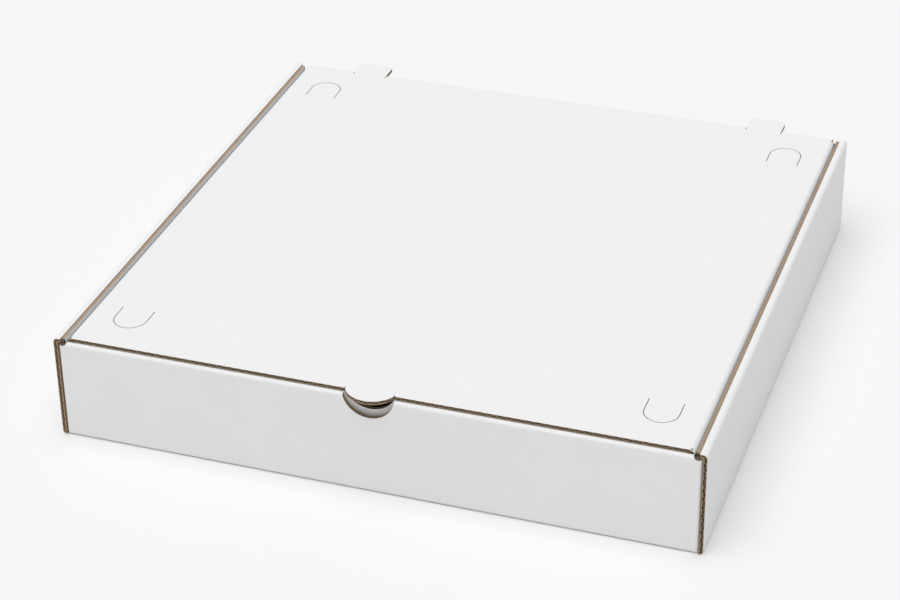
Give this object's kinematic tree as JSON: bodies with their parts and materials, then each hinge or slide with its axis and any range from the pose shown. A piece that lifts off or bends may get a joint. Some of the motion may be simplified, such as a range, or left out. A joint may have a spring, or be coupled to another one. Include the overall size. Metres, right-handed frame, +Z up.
{
  "type": "pizza box",
  "caption": "Flat folded corrugated pizza box: a low tray with rolled-over side walls, a hinged lid with tuck flaps and a thumb tongue, and press-in vent tabs.",
  "frame": {"origin": "under the middle of the floor: centre of the tray's underside, with the tongue and rear tabs left out", "axes": "+Z up, +X to the right seen from the front, -Y towards the front wall with the thumb notch, +Y towards the hinge"},
  "size_m": [0.237, 0.2435, 0.0404],
  "materials": {
    "tray_board": "white-topped thin corrugated board, matt, brown inside",
    "lid_board": "white-topped thin corrugated board, matt, brown inside",
    "vent_board": "white-topped thin corrugated board, matt, brown inside"
  },
  "bodies": {
    "tray": {"tray": "tray_board"},
    "lid": {"lid": "lid_board"},
    "vent_front_left": {"vent_front_left": "vent_board"},
    "vent_front_right": {"vent_front_right": "vent_board"},
    "vent_rear_left": {"vent_rear_left": "vent_board"},
    "vent_rear_right": {"vent_rear_right": "vent_board"}
  },
  "joints": [
    {"name": "lid_hinge", "type": "hinge", "parent": "tray", "child": "lid", "pos_m": [0, 0.1146, 0.039], "axis": [-1, 0, 0], "range_deg": [0, 180]},
    {"name": "vent_front_left_hinge", "type": "hinge", "parent": "lid", "child": "vent_front_left", "pos_m": [-0.0977, -0.0888, 0.039], "axis": [1, 0, 0], "range_deg": [0, 80]},
    {"name": "vent_front_right_hinge", "type": "hinge", "parent": "lid", "child": "vent_front_right", "pos_m": [0.0977, -0.0888, 0.039], "axis": [1, 0, 0], "range_deg": [0, 80]},
    {"name": "vent_rear_left_hinge", "type": "hinge", "parent": "lid", "child": "vent_rear_left", "pos_m": [-0.0977, 0.0888, 0.039], "axis": [-1, 0, 0], "range_deg": [0, 80]},
    {"name": "vent_rear_right_hinge", "type": "hinge", "parent": "lid", "child": "vent_rear_right", "pos_m": [0.0977, 0.0888, 0.039], "axis": [-1, 0, 0], "range_deg": [0, 80]}
  ]
}
